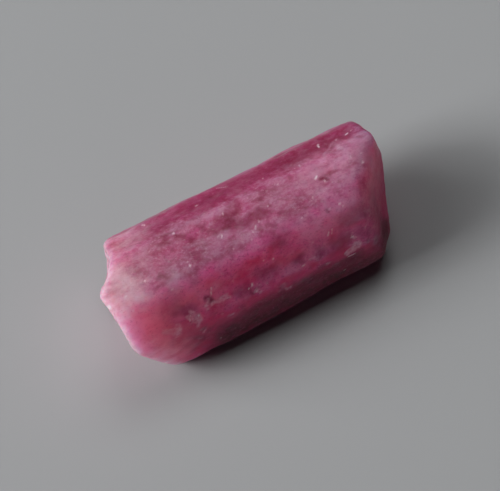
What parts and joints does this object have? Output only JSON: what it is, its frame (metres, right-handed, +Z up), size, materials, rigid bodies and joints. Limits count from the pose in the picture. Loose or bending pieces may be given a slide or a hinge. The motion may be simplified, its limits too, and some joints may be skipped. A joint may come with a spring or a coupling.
{
  "type": "rubellite crystal",
  "caption": "Stubby water-worn prism of cloudy raspberry-pink tourmaline, lying on a long flat face, with a slanting natural termination and a broken end.",
  "frame": {"origin": "centre of the bounding box at the plane the crystal rests on", "axes": "+X along the crystal towards its natural termination, -X towards its broken end, -Y towards its chipped front ridge, +Z up"},
  "size_m": [0.026, 0.0112, 0.0096],
  "materials": {
    "rubellite": "satin, cloudy and translucent"
  },
  "bodies": {
    "root": {"rubellite_crystal": "rubellite"}
  },
  "joints": []
}
